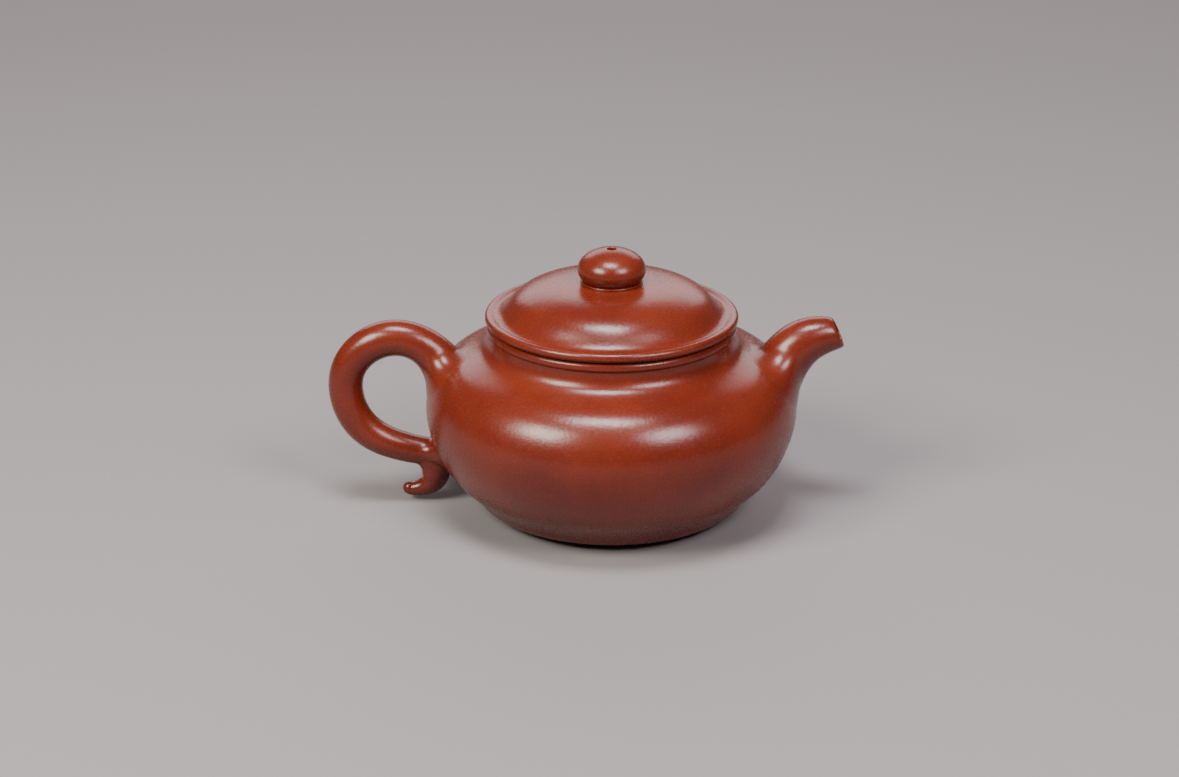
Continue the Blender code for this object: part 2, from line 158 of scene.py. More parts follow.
class TeapotPotSizes(bpy.types.PropertyGroup):
    """Sizes of the pot, its spout and its handle."""

    belly: length("Belly", "Radius that the belly's guide points are drawn from", 48.0)
    wall: length("Wall", "Thickness of the pot's wall", 2.6)
    throat: length("Throat", "Outside radius of the neck, under the mouth rim", 31.5)
    base_lap: length("Base lap", "How far the base reaches past the foot ring", 2.5)
    foot_width: length("Foot width", "Width of the ring that the pot stands on", 3.0)
    camber: length("Base camber", "Rise of the base at its middle", 0.8)
    rim_round: length("Rim rounding", "Radius of the mouth rim's outer edges", 1.0)
    inner_round: length("Inner rounding", "Radius of the mouth's inner edge", 0.5)
    handle_reach: length("Handle reach", "From the wall out to the outer bend", 26.5)
    handle_radius: length("Handle radius", "Radius of the roll at the top of its bend", 4.8)
    handle_lower: length("Lower handle radius", "Radius of the roll below", 3.7)
    handle_root: length("Handle root", "Radius of the roll at its upper root", 7.3)
    handle_fillet: length("Handle fillet", "Radius of the clay smoothed beside the roots", 6.0)
    handle_crease: length("Handle crease", "Radius of the crease over and under the roots", 1.8)
    tail_length: length("Tail length", "From the handle's lower root to the tail's tip", 9.4)
    tail_radius: length("Tail radius", "Radius of the tail at its root", 4.2)
    tail_tip: length("Tail tip", "Radius of the tail's blunt tip", 1.7)
    tail_clearance: length("Tail clearance", "From the tail down to the table", 1.5)
    tail_fillet: length("Tail fillet", "Radius of the clay smoothed round the tail", 2.2)
    spout_reach: length("Spout reach", "From the belly to the middle of the spout's mouth", 10.3)
    spout_drop: length("Spout drop", "Middle of the spout's mouth, below the mouth rim", 2.85)
    spout_root: length("Spout root", "Radius of the spout at its root", 8.8)
    spout_tip: length("Spout tip", "Radius of the spout at its mouth", 3.9)
    root_bore: length("Root bore", "Radius of the way through, at the root", 5.6)
    tip_bore: length("Mouth bore", "Radius of the way through, at the mouth", 3.1)
    spout_fillet: length("Spout fillet", "Radius of the clay smoothed beside the root", 8.0)
    spout_crease: length("Spout crease", "Radius of the crease over and under the root", 1.8)
    lip_round: length("Lip rounding", "Length over which the spout's mouth rounds off", 1.6)
    spout_cut: bpy.props.FloatProperty(
        name="Spout cut",
        description="How far the cut of the spout's mouth leans back",
        default=math.radians(18.0),
        subtype="ANGLE",
    )
    strainer_lap: length("Strainer lap", "How far the strainer reaches past the bore", 2.2)
    strainer_wall: length("Strainer wall", "Thickness of the pierced dome", 1.5)
    strainer_hole: length("Strainer hole", "Radius of each hole in the strainer", 1.1)


class TeapotLidSizes(bpy.types.PropertyGroup):
    """Sizes of the lid and its knob."""

    wall: length("Lid wall", "Thickness of the dome", 2.4)
    flange_wall: length("Flange wall", "Thickness of the ring that drops into the mouth", 2.2)
    vent: length("Vent", "Radius of the hole down through the knob", 1.2)
    valley: length("Valley", "Depth of the soft valley between the dome and the rim", 0.4)
    seat: length("Collar height", "From the dome up to the knob's underside", 0.55)
    knob_half: length("Knob half height", "Half the height of the knob's full oval", 5.45)
    vent_round: length("Vent rounding", "Radius of the edge round the vent", 0.2)


class TeapotClay(bpy.types.PropertyGroup):
    """Colours and finish of the fired clay."""

    deep: colour("Deep clay", "Where the clay fired darkest", (0.105, 0.0115, 0.0045))
    warm: colour("Warm clay", "Where the clay fired lightest", (0.142, 0.0175, 0.0064))
    fleck: colour("Fleck", "Sand grains in the clay", (0.3, 0.075, 0.03))
    bare: colour("Bare clay", "Clay that was not burnished", (0.17, 0.032, 0.0145))
    dust: colour("Dust", "Dry bloom on the bare clay", (0.27, 0.085, 0.046))
    polish: share("Polish", "Roughness of the burnished face", 0.27)
    glow: share("Glow", "Weight of the hand-rubbed gloss over the clay", 0.05)


class TeapotStudio(bpy.types.PropertyGroup):
    """Floor, soft boxes and camera."""

    floor: colour("Floor", "Colour of the floor", (0.235, 0.219, 0.219))
    surround: colour("Surround", "Colour of the room", (0.62, 0.57, 0.58))
    top_power: power("Overhead box", "Power of the soft box overhead", 11.0)
    left_power: power("Left box", "Power of the soft box on the handle's side", 13.0)
    right_power: power("Right box", "Power of the soft box on the spout's side", 8.5)
    back_power: power("Back box", "Power of the wide soft box behind, for the soft edges", 8.0)
    lens: bpy.props.FloatProperty(
        name="Lens", description="Focal length", default=85.0, min=1.0, unit="CAMERA"
    )


# ---- lines in the pot's upright half plane ---------------------------------------------------


def smooth_curve(guides, count):
    """Points of a cubic B-spline that starts and ends on its first and last guide points.

    Each point is a sum of the guide points, weighted by the basis functions that the recursion of
    degree 1, 2 and 3 builds up from evenly spaced knots.
    """
    guides = np.asarray(guides, float)
    spans = len(guides) - 3
    knots = np.concatenate([np.zeros(3), np.linspace(0.0, 1.0, spans + 1), np.ones(3)])
    at = np.linspace(0.0, 1.0 - 1e-9, count)[:, None]
    basis = ((knots[:-1] <= at) & (at < knots[1:])).astype(float)
    for degree in (1, 2, 3):
        span = knots[degree:] - knots[:-degree]
        part = np.where(span > 0, (at - knots[:-degree]) / np.where(span > 0, span, 1.0), 0.0)
        basis = part[:, :-1] * basis[:, :-1] + (1.0 - part[:, 1:]) * basis[:, 1:]
    return basis @ guides


def runs_of(line):
    """Unit direction of a plane line at each of its points."""
    run = np.gradient(line[:, :2], axis=0)
    return run / np.hypot(*run.T)[:, None]


def sides_of(line):
    """Unit vector to the right of the line's direction, at each of its points."""
    run = runs_of(line)
    return np.stack([run[:, 1], -run[:, 0]], axis=1)


def in_space(line):
    """Points in space of a line of (x from the axis, z) in the pot's middle plane."""
    return np.stack([AXIS_X + line[:, 0], 0.0 * line[:, 0], line[:, 1]], axis=-1)


def arc(middle, radius, first, last, count):
    """Points of a circular arc between two angles in degrees."""
    turn = np.radians(np.linspace(first, last, count))
    return np.stack([middle[0] + radius * np.cos(turn), middle[1] + radius * np.sin(turn)], axis=1)


def wall_outline(sizes):
    """Outside of the pot from the foot ring's edge over the belly to the top of the throat.

    Guide points lie at shares of the way from the foot's or the throat's radius to the belly's,
    and at shares of the height.
    """
    rise = THROAT_TOP - FOOT_TOP
    lower = np.array([(0.0, 0.0), (0.305, 0.0), (0.347, 0.09), (0.72, 0.189), (1.0, 0.441)])
    upper = np.array([(1.028, 0.669), (0.592, 0.889), (0.0, 0.885), (0.0, 1.0)])
    out = np.concatenate(
        [
            FOOT_RADIUS + lower[:, 0] * (sizes.belly - FOOT_RADIUS),
            sizes.throat + upper[:, 0] * (sizes.belly - sizes.throat),
        ]
    )
    up = FOOT_TOP + np.concatenate([lower[:, 1], upper[:, 1]]) * rise
    return smooth_curve(np.stack([out, up], axis=1), 900)


def outline_at(outline, height_share):
    """Point of the outline at a share of its height."""
    height = FOOT_TOP + height_share * (THROAT_TOP - FOOT_TOP)
    return np.array([np.interp(height, outline[:, 1], outline[:, 0]), height])


def spout_line(sizes, outline, root_radius, tip_radius, count):
    """Middle line of the spout as (x, z, radius), from inside the wall to the mouth.

    A spline through shares of the reach and the rise from the wall to the spout's mouth; the
    radius narrows from the root's to the tip's along the same spline.
    """
    root = outline_at(outline, UPPER_ROOTS)
    reach = sizes.belly + sizes.spout_reach - root[0]
    rise = MOUTH_HEIGHT - sizes.spout_drop - root[1]
    rows = np.array(
        [
            (-0.363, -1.13, 1.0),
            (-0.295, -0.834, 1.0),
            (-0.129, -0.203, 0.62),
            (0.296, 0.812, 0.49),
            (0.795, 0.968, 0.18),
            (1.0, 1.0, 0.0),
        ]
    )
    guides = np.stack(
        [
            root[0] + rows[:, 0] * reach,
            root[1] + rows[:, 1] * rise,
            tip_radius + rows[:, 2] * (root_radius - tip_radius),
        ],
        axis=1,
    )
    return smooth_curve(guides, count)


def handle_line(sizes, outline, count):
    """Middle line of the handle as (x, z, radius), from one root inside the wall to the other.

    A spline through shares of the rise between the two roots and of the reach outwards.
    """
    lower = outline_at(outline, LOWER_ROOT)
    upper = outline_at(outline, UPPER_ROOTS)
    top, low, root = sizes.handle_radius, sizes.handle_lower, sizes.handle_root
    rows = np.array(
        [
            (0.66, -0.148, 1.16 * root),
            (0.754, -0.125, root),
            (1.2, 0.009, 0.93 * top),
            (1.386, 0.526, top),
            (0.98, 1.021, 0.92 * top),
            (0.32, 0.896, 1.21 * low),
            (0.11, 0.462, 1.05 * low),
            (0.049, 0.085, 0.96 * low),
            (0.03, -0.08, low),
            (0.05, -0.33, 0.9 * low),
        ]
    )
    guides = np.stack(
        [
            -(lower[0] + rows[:, 0] * (upper[0] - lower[0]) + rows[:, 1] * sizes.handle_reach),
            lower[1] + rows[:, 0] * (upper[1] - lower[1]),
            rows[:, 2],
        ],
        axis=1,
    )
    return smooth_curve(guides, count)


def tail_line(sizes, outline, count):
    """Middle line of the curled tail as (x, z, radius), from inside the handle to its tip."""
    lower = outline_at(outline, LOWER_ROOT)
    level = sizes.tail_clearance + sizes.tail_tip
    drop = lower[1] - level
    root, tip = sizes.tail_radius, sizes.tail_tip
    rows = np.array(
        [
            (0.17, 1.22, 0.5 * root),
            (0.25, 1.05, 0.75 * root),
            (0.27, 0.66, 1.06 * root),
            (0.41, 0.03, 1.5 * tip),
            (1.04, -0.03, tip),
            (1.06, 0.02, tip),
        ]
    )
    guides = np.stack(
        [-(lower[0] + rows[:, 0] * sizes.tail_length), level + rows[:, 1] * drop, rows[:, 2]],
        axis=1,
    )
    return smooth_curve(guides, count)


def dome_line(radius, foot, top, vent, count):
    """Half outline of a dome: level over the middle, then round and down, and flat at its foot."""
    shares = np.array([(0.31, 1.0), (0.63, 0.94), (0.87, 0.53), (0.945, 0.04), (1.0, 0.0)])
    guides = np.stack([radius * shares[:, 0], foot + (top - foot) * shares[:, 1]], axis=1)
    return smooth_curve(np.vstack([(vent, top), guides]), count)


# ---- surfaces --------------------------------------------------------------------------------


def turned(section, turns):
    """A closed section of (radius, height) points, turned once round the pot's axis.

    Point (i, j) is (axis + radius_i cos angle_j, radius_i sin angle_j, height_i).
    """
    angle = np.linspace(0.0, math.tau, turns, endpoint=False)
    radius, height = section[:, :1], section[:, 1:2]
    return np.stack(
        [
            AXIS_X + radius * np.cos(angle),
            radius * np.sin(angle),
            height + 0.0 * angle,
        ],
        axis=-1,
    )


def swept(line, sides, cut_angle=0.0):
    """Rings round a middle line of (x, z, radius), and the way out from the line at each point.

    Ring point j is the line's point + radius (cos angle_j up + sin angle_j across), where up is
    square to the line in the pot's middle plane. A cut angle leans the last third of the rings
    back, by the square of the way through that third.
    """
    angle = np.linspace(0.0, math.tau, sides, endpoint=False)
    run = runs_of(line)
    along = np.linspace(0.0, 1.0, len(line))
    lean = math.tan(cut_angle) * np.clip(3.0 * along - 2.0, 0.0, None) ** 2
    up, across = np.cos(angle)[None, :], np.sin(angle)[None, :]
    radius = line[:, 2:3]
    run_x, run_z = run[:, :1], run[:, 1:2]
    way = np.stack([-up * run_z, across + 0.0 * run_z, up * run_x], axis=-1)
    tilt = (lean[:, None] * radius * up)[..., None] * np.stack(
        [run_x, 0.0 * run_x, run_z], axis=-1
    )
    return in_space(line)[:, None, :] + radius[..., None] * way - tilt, way


def beside_wall(points, outline):
    """Distance of each point from the pot's outside, and the wall's way out there.

    The nearest point of the outline in the (radius, height) plane is taken, and the distance is
    measured along the outline's side there, so it is negative inside the pot.
    """
    flat = points.reshape(-1, 3)
    out = np.hypot(flat[:, 0] - AXIS_X, flat[:, 1])
    near = np.hypot(out[:, None] - outline[:, 0], flat[:, 2:3] - outline[:, 1]).argmin(axis=1)
    side = sides_of(outline)[near]
    apart = np.stack([out, flat[:, 2]], axis=1) - outline[near]
    distance = (apart * side).sum(axis=1)
    round_x = (flat[:, 0] - AXIS_X) / np.maximum(out, POLE)
    round_y = flat[:, 1] / np.maximum(out, POLE)
    way = np.stack([side[:, 0] * round_x, side[:, 0] * round_y, side[:, 1]], axis=1)
    return distance.reshape(points.shape[:-1]), way.reshape(points.shape)


def beside_roll(points, line):
    """Distance of each point from a round roll along a middle line, and the way out from it."""
    flat = points.reshape(-1, 3)
    middle = in_space(line)
    apart = np.linalg.norm(flat[:, None, :] - middle[None, :, :], axis=2)
    near = (apart - line[:, 2]).argmin(axis=1)
    rows = np.arange(len(flat))
    distance = apart[rows, near] - line[near, 2]
    way = (flat - middle[near]) / np.maximum(apart[rows, near], POLE)[:, None]
    return distance.reshape(points.shape[:-1]), way.reshape(points.shape)


def nearer(first, second):
    """The nearer of two (distance, way) answers at each point."""
    closer = first[0] < second[0]
    distance = np.where(closer, first[0], second[0])
    return distance, np.where(closer[..., None], first[1], second[1])


def landed(points, way, beside, fillet):
    """A roll's surface drawn out where it lands on clay, like a smoothed joint.

    A point at a distance less than the fillet's radius moves away from the roll's line, along the
    face that it lands on, by radius (1 - root of (1 - nearness squared)), and is then put back at
    its own distance, a hair lower where it lands. So the surface arrives level with the face.
    """
    distance, out = beside(points)
    nearness = np.clip(1.0 - distance / fillet, 0.0, 1.0)
    level = way - (way * out).sum(axis=-1, keepdims=True) * out
    level /= np.maximum(np.linalg.norm(level, axis=-1, keepdims=True), 0.2)
    moved = points + (fillet * (1.0 - np.sqrt(1.0 - nearness**2)))[..., None] * level
    hair = 0.03 * MM
    sunk = distance - hair * nearness**6
    for _ in range(2):
        now, out = beside(moved)
        moved = moved + (sunk - now)[..., None] * out
    return moved


def landed_part(rings, way, rows, spacing, beside, fillet):
    """The part of a roll between two row numbers, read at a spacing and landed on clay."""
    skin, ways = (resampled(grid, *rows, spacing) for grid in (rings, way))
    return landed(skin, ways, beside, fillet)


def easing_in(count):
    """Numbers from 0 to 1 that lie close together at the start: 1 - cos of a quarter turn."""
    return 1.0 - np.cos(0.5 * math.pi * np.linspace(0.0, 1.0, count))


def side_fillet(sides, crease, fillet):
    """Fillet radius round a ring: crease in the pot's middle plane, fillet at both sides of it.

    Point j's radius is crease + (fillet - crease) sin squared of its angle.
    """
    angle = np.linspace(0.0, math.tau, sides, endpoint=False)
    return crease + (fillet - crease) * np.sin(angle) ** 2


def rounded_lip(skin, bore, wall, reach):
    """The skin, drawn in towards its end, the lip's inner edge, and the bore of a pipe's end.

    With u going from 0 to 1 over the last reach of the skin, the skin moves in by
    drawn_in (1 - sqrt(1 - u^2)) of the wall. A smaller quarter oval then turns into the bore, so
    the lip's crest stays where the pipe was cut.
    """
    drawn_in = 0.62
    left = 1.0 - drawn_in
    end_run = (skin[-1] - skin[-2]).mean(axis=0)
    end_run /= np.linalg.norm(end_run)
    spoke = skin[-1] - bore[0]
    share_in = np.clip(1.0 - ((skin[-1] - skin) @ end_run) / reach, 0.0, 1.0)[..., None]
    skin = skin - drawn_in * (1.0 - np.sqrt(1.0 - share_in**2)) * spoke
    turn = np.linspace(0.5 * math.pi, math.pi, 8)[1:, None, None]
    inner_reach = left * wall
    inner = bore[0] + left * (1.0 + np.cos(turn)) * spoke
    inner = inner - (1.0 - np.sin(turn)) * inner_reach * end_run
    bore = bore[((bore[0] - bore) @ end_run).min(axis=1) > inner_reach]
    return skin, inner, bore


def leaving(distance):
    """How far along its rows each column of a grid last rises through zero, as a row number."""
    rows = np.arange(len(distance))[:, None]
    last = np.where(distance < 0.0, rows, 0).max(axis=0)
    last = np.minimum(last, len(distance) - 2)
    columns = np.arange(distance.shape[1])
    low, high = distance[last, columns], distance[last + 1, columns]
    return last + np.clip(-low / np.maximum(high - low, POLE), 0.0, 1.0)


def resampled(grid, first, last, spacing):
    """A grid read again along its rows, from one row number to another in each column.

    Row i of the answer lies at first + spacing_i (last - first), between its two neighbours.
    """
    at = first + spacing[:, None] * (last - first)
    low = np.clip(at.astype(int), 0, len(grid) - 2)
    part = (at - low)[..., None]
    columns = np.arange(grid.shape[1])
    return grid[low, columns] * (1.0 - part) + grid[low + 1, columns] * part


def capped(rings, first_tip, last_tip):
    """Rings with each end drawn together at a point."""
    shape = (1, rings.shape[1], 3)
    ends = [np.broadcast_to(tip, shape) for tip in (first_tip, last_tip)]
    return np.concatenate([ends[0], rings, ends[1]])


# ---- meshes ----------------------------------------------------------------------------------


def mesh_from(name, grid, closed_rows, inside_rows=None):
    """A mesh from a grid of points whose columns close on themselves.

    Each face joins points (i, j), (i+1, j), (i+1, j+1) and (i, j+1). The faces are turned over if
    the volume they hold comes out negative, and points that coincide at a pole become one.
    """
    rows, columns = grid.shape[:2]
    number = np.arange(rows * columns).reshape(rows, columns)
    following = np.roll(number, -1, axis=0) if closed_rows else number[1:]
    here = number if closed_rows else number[:-1]
    corners = [here, following, np.roll(following, -1, axis=1), np.roll(here, -1, axis=1)]
    faces = np.stack(corners, axis=-1).reshape(-1, 4)
    points = grid.reshape(-1, 3)
    first, second, third, fourth = (points[faces[:, k]] for k in range(4))
    volume = (first * np.cross(second, third)).sum() + (first * np.cross(third, fourth)).sum()
    if volume < 0.0:
        faces = faces[:, ::-1]
    mesh = bpy.data.meshes.new(name)
    mesh.vertices.add(len(points))
    mesh.loops.add(faces.size)
    mesh.polygons.add(len(faces))
    mesh.vertices.foreach_set("co", np.ascontiguousarray(points, np.float32).ravel())
    mesh.loops.foreach_set("vertex_index", np.ascontiguousarray(faces, np.int32).ravel())
    mesh.polygons.foreach_set("loop_start", np.arange(0, faces.size, 4, dtype=np.int32))
    if inside_rows is not None:
        row = np.repeat(np.arange(len(here)), columns)
        inside = (row >= inside_rows[0]) & (row < inside_rows[1])
        mesh.polygons.foreach_set("material_index", inside.astype(np.int32))
    mesh.update(calc_edges=True)
    shape = bmesh.new()
    shape.from_mesh(mesh)
    bmesh.ops.remove_doubles(shape, verts=shape.verts, dist=POLE)
    shape.to_mesh(mesh)
    shape.free()
    mesh.shade_smooth()
    mesh.set_sharp_from_angle(angle=SHARP_ANGLE)
    return mesh


def clay_piece(name, mesh, body, nodes, materials):
    """A finished piece that rides on a body and stands for nodes of the frame."""
    made = bpy.data.objects.new(name, mesh)
    bpy.context.scene.collection.objects.link(made)
    mesh.materials.clear()
    for material in materials:
        mesh.materials.append(material)
    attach(made, body)
    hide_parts(*nodes)
    return made


def pierced(mesh, cutter, name):
    """A mesh with another closed mesh cut out of it."""
    solid = bpy.data.objects.new(name + "_solid", mesh)
    tool = bpy.data.objects.new(name + "_tool", cutter)
    for made in (solid, tool):
        bpy.context.scene.collection.objects.link(made)
    cut = solid.modifiers.new("cut", "BOOLEAN")
    cut.operation = "DIFFERENCE"
    cut.solver = "EXACT"
    cut.object = tool
    seen = bpy.context.evaluated_depsgraph_get()
    made = bpy.data.meshes.new_from_object(solid.evaluated_get(seen))
    made.name = name
    for old in (solid, tool):
        bpy.data.objects.remove(old, do_unlink=True)
    made.shade_smooth()
    made.set_sharp_from_angle(angle=SHARP_ANGLE)
    return made


def pin_mesh(middle, ways, reach, radius):
    """Round pins that point away from a middle, each from 0.7 to 1.3 of the reach.

    Pin k's ring point is middle + height way_k + radius (cos side_k + sin other side_k).
    """
    side = np.cross(ways, (0.3, 0.5, 0.81))
    side /= np.linalg.norm(side, axis=1, keepdims=True)
    other = np.cross(ways, side)
    angle = np.linspace(0.0, math.tau, 20, endpoint=False)
    out = np.array([0.0, radius, radius, 0.0])
    height = reach * np.array([0.7, 0.7, 1.3, 1.3])
    angle = angle[:, None]
    spoke = np.cos(angle) * side[:, None, :] + np.sin(angle) * other[:, None, :]
    grid = (
        middle
        + height[None, :, None, None] * ways[:, None, None, :]
        + out[None, :, None, None] * spoke[:, None, :, :]
    )
    shape = bmesh.new()
    for pin in grid:
        shape.from_mesh(mesh_from("pin", pin, False))
    mesh = bpy.data.meshes.new("pins")
    shape.to_mesh(mesh)
    shape.free()
    return mesh


# ---- fired clay ------------------------------------------------------------------------------


class Value:
    """A socket that can be used in arithmetic, which adds the Math nodes it needs."""

    def __init__(self, recipe, socket):
        self.recipe = recipe
        self.socket = socket

    def combine(self, operation, first, second):
        return self.recipe.node("ShaderNodeMath", {"operation": operation}, {0: first, 1: second})

    def __add__(self, other):
        return self.combine("ADD", self, other)

    def __radd__(self, other):
        return self.combine("ADD", other, self)

    def __sub__(self, other):
        return self.combine("SUBTRACT", self, other)

    def __rsub__(self, other):
        return self.combine("SUBTRACT", other, self)

    def __mul__(self, other):
        return self.combine("MULTIPLY", self, other)

    def __rmul__(self, other):
        return self.combine("MULTIPLY", other, self)

    def __truediv__(self, other):
        return self.combine("DIVIDE", self, other)

    def __pow__(self, other):
        return self.combine("POWER", self, other)


class Recipe:
    """A material and the nodes that are added to it."""

    def __init__(self, name):
        self.material = bpy.data.materials.new(name)
        self.material.use_nodes = True
        self.tree = self.material.node_tree
        self.shader = self.tree.nodes["Principled BSDF"]

    def set(self, node, key, value):
        """Gives a socket a value, or links it to another socket."""
        if isinstance(value, Value):
            self.tree.links.new(value.socket, node.inputs[key])
        else:
            node.inputs[key].default_value = value

    def node(self, kind, settings=None, inputs=None, output=0):
        """Adds a node: its settings first, then the values or links of its sockets."""
        made = self.tree.nodes.new(kind)
        for key, value in (settings or {}).items():
            setattr(made, key, value)
        for key, value in (inputs or {}).items():
            self.set(made, key, value)
        return Value(self, made.outputs[output])

    def mix(self, factor, first, second):
        """A colour between two colours."""
        first, second = (
            (*tint, 1.0) if isinstance(tint, tuple) and len(tint) == 3 else tint
            for tint in (first, second)
        )
        return self.node(
            "ShaderNodeMix", {"data_type": "RGBA"}, {0: factor, 6: first, 7: second}, output=2
        )

    def ranged(self, value, low, high):
        """A value carried smoothly from 0 at the low end of a range to 1 at its high end."""
        return self.node(
            "ShaderNodeMapRange",
            {"interpolation_type": "SMOOTHSTEP"},
            {0: value, 1: low, 2: high, 3: 0.0, 4: 1.0},
        )

    def noise(self, place, scale, detail=2.0, roughness=0.5):
        """Even noise, with about scale features to the metre."""
        return self.node(
            "ShaderNodeTexNoise",
            None,
            {"Vector": place, "Scale": scale, "Detail": detail, "Roughness": roughness},
        )

    def finish(self, values):
        """Sets the shader's own sockets."""
        for key, value in values.items():
            self.set(self.shader, key, value)
        return self.material


def around_axis(recipe, place):
    """Places stretched round the pot's axis, so that a pattern runs as marks of the wheel.

    The way round is the unit vector (x, y) / radius times a few, and the height keeps its own
    scale, so the pattern has no seam. Also gives the radius.
    """
    centred = recipe.node(
        "ShaderNodeVectorMath", {"operation": "SUBTRACT"}, {0: place, 1: (AXIS_X, 0.0, 0.0)}
    )
    parts = recipe.tree.nodes.new("ShaderNodeSeparateXYZ")
    recipe.set(parts, 0, centred)
    x, y, z = (Value(recipe, parts.outputs[k]) for k in range(3))
    radius = (x * x + y * y) ** 0.5
    safe = radius + 0.002
    stretched = recipe.node(
        "ShaderNodeCombineXYZ",
        None,
        {0: x / safe * 0.012, 1: y / safe * 0.012, 2: z + radius * 0.35},
    )
    return stretched, radius


def clay_grain(recipe, place):
    """Three sizes of grain that every face of the clay shows: fine, orange-peel and lumps."""
    fine = recipe.noise(place, 5200.0, 2.0, 0.6)
    peel = recipe.noise(place, 1500.0, 2.0, 0.55)
    lumps = recipe.noise(place, 210.0, 2.0, 0.5)
    return fine, peel, lumps


def sand(recipe, place, scale, size):
    """Mask of small sand grains: near the middle of some of the cells of a broken pattern."""
    settings = {"feature": "F1", "distance": "EUCLIDEAN"}
    inputs = {"Vector": place, "Scale": scale, "Randomness": 1.0}
    cells = recipe.node("ShaderNodeTexVoronoi", settings, inputs)
    tint = recipe.node("ShaderNodeTexVoronoi", settings, inputs, output=1)
    chosen = recipe.node("ShaderNodeSeparateColor", None, {0: tint})
    dots = 1.0 - recipe.ranged(cells, 0.4 * size, size)
    return dots * recipe.ranged(chosen, 0.55, 0.75)


def burnished_clay(clay):
    """Red clay rubbed to a soft gloss, with wheel marks, orange-peel and a few pale grains."""
    known = bpy.data.materials.get("burnished red clay")
    if known:
        return known
    recipe = Recipe("burnished red clay")
    place = recipe.node("ShaderNodeTexCoord", None, None, output=3)
    fine, peel, lumps = clay_grain(recipe, place)
    stretched, radius = around_axis(recipe, place)
    marks = recipe.noise(stretched, 2600.0, 3.0, 0.6)
    on_wheel = 1.0 - recipe.ranged(radius, 0.0475, 0.0505)
    marks = (marks - 0.5) * on_wheel
    clouds = recipe.noise(place, 42.0, 3.0, 0.55)
    flecks = sand(recipe, place, 900.0, 0.3)
    tone = recipe.ranged(clouds + marks * 0.2 + (peel - 0.5) * 0.2, 0.3, 0.72)
    body = recipe.mix(tone, tuple(clay.deep), tuple(clay.warm))
    tint = recipe.mix(flecks * 0.16, body, tuple(clay.fleck))
    height = fine * 0.3 + peel * 0.6 + lumps * 1.2 + marks * 0.5
    bump = recipe.node(
        "ShaderNodeBump", None, {"Strength": 0.62, "Distance": 0.00006, "Height": height}
    )
    rough = clay.polish + (clouds - 0.5) * 0.08 + (peel - 0.5) * 0.12
    return recipe.finish(
        {
            "Base Color": tint,
            "Roughness": rough,
            "Normal": bump,
            "Coat Weight": clay.glow,
            "Coat Roughness": 0.2,
            "IOR": 1.46,
        }
    )


def bare_clay(clay):
    """The same clay left dry and sandy, where nobody rubs it."""
    known = bpy.data.materials.get("bare red clay")
    if known:
        return known
    recipe = Recipe("bare red clay")
    place = recipe.node("ShaderNodeTexCoord", None, None, output=3)
    fine, peel, lumps = clay_grain(recipe, place)
    stretched, _ = around_axis(recipe, place)
    marks = recipe.noise(stretched, 1500.0, 2.0, 0.6)
    flecks = sand(recipe, place, 700.0, 0.34)
    bloom = recipe.ranged(lumps + marks * 0.5 + fine * 0.4, 0.7, 1.25)
    body = recipe.mix(bloom * 0.45, tuple(clay.bare), tuple(clay.dust))
    tint = recipe.mix(flecks * 0.4, body, tuple(clay.fleck))
    height = fine * 0.9 + peel * 1.1 + lumps * 1.5 + marks * 1.2 + flecks * 0.8
    bump = recipe.node(
        "ShaderNodeBump", None, {"Strength": 0.7, "Distance": 0.00006, "Height": height}
    )
    return recipe.finish(
        {
            "Base Color": tint,
            "Roughness": 0.62 + (fine - 0.5) * 0.2 - flecks * 0.1,
            "Normal": bump,
            "IOR": 1.5,
        }
    )


# ---- operators -------------------------------------------------------------------------------


class TEAPOT_OT_pot_wall(bpy.types.Operator):
    """Make the pot's wall, neck and mouth rim as one skin, pierced behind the spout"""

    bl_idname = "teapot.pot_wall"
    bl_label = "Pot wall"

    def execute(self, context):
        sizes = context.scene.teapot_pot
        clay = context.scene.teapot_clay
        outline = wall_outline(sizes)
        outside = outline[::6]
        edge = MOUTH_RIM_RADIUS - sizes.rim_round
        under = (edge, RIM_BASE + sizes.rim_round)
        over = (edge, MOUTH_HEIGHT - sizes.rim_round)
        across = (sizes.throat - edge) / sizes.rim_round
        meets = math.degrees(math.asin(-math.sqrt(1.0 - across**2)))
        rim = [
            arc(under, sizes.rim_round, meets, 0.0, 10),
            arc(over, sizes.rim_round, 0.0, 90.0, 14),
        ]
        bore = sizes.throat - sizes.wall
        lip = (bore + sizes.inner_round, MOUTH_HEIGHT - sizes.inner_round)
        rim += [arc(lip, sizes.inner_round, 90.0, 180.0, 6)]
        inside = (outline - sizes.wall * sides_of(outline))[::-8]
        inside = inside[inside[:, 0] > FOOT_RADIUS - POLE]
        inside = inside[(inside[:, 1] > BASE_TOP) | (inside[:, 0] > FOOT_RADIUS + sizes.base_lap)]
        section = np.vstack([outside, *rim, inside])
        first_inside = len(outside) + sum(len(part) for part in rim)
        grid = turned(section, WALL_TURNS)
        mesh = mesh_from("pot_wall", grid, True, (first_inside, len(section)))
        line = spout_line(sizes, outline, sizes.root_bore, sizes.tip_bore, 60)
        line = line[:34]  # from inside the pot to just outside its wall
        line[:, 2] += 0.1 * MM
        rings, _ = swept(line, 48)
        rings = capped(rings, rings[0].mean(axis=0), rings[-1].mean(axis=0))
        cutter = mesh_from("bore", rings, False)
        cutter.polygons.foreach_set("material_index", np.ones(len(cutter.polygons), np.int32))
        mesh = pierced(mesh, cutter, "pot_wall")
        nodes = ("body_wall", "neck_ring", "mouth_rim")
        both = (burnished_clay(clay), bare_clay(clay))
        clay_piece("pot_wall", mesh, "pot", nodes, both)
        return {"FINISHED"}


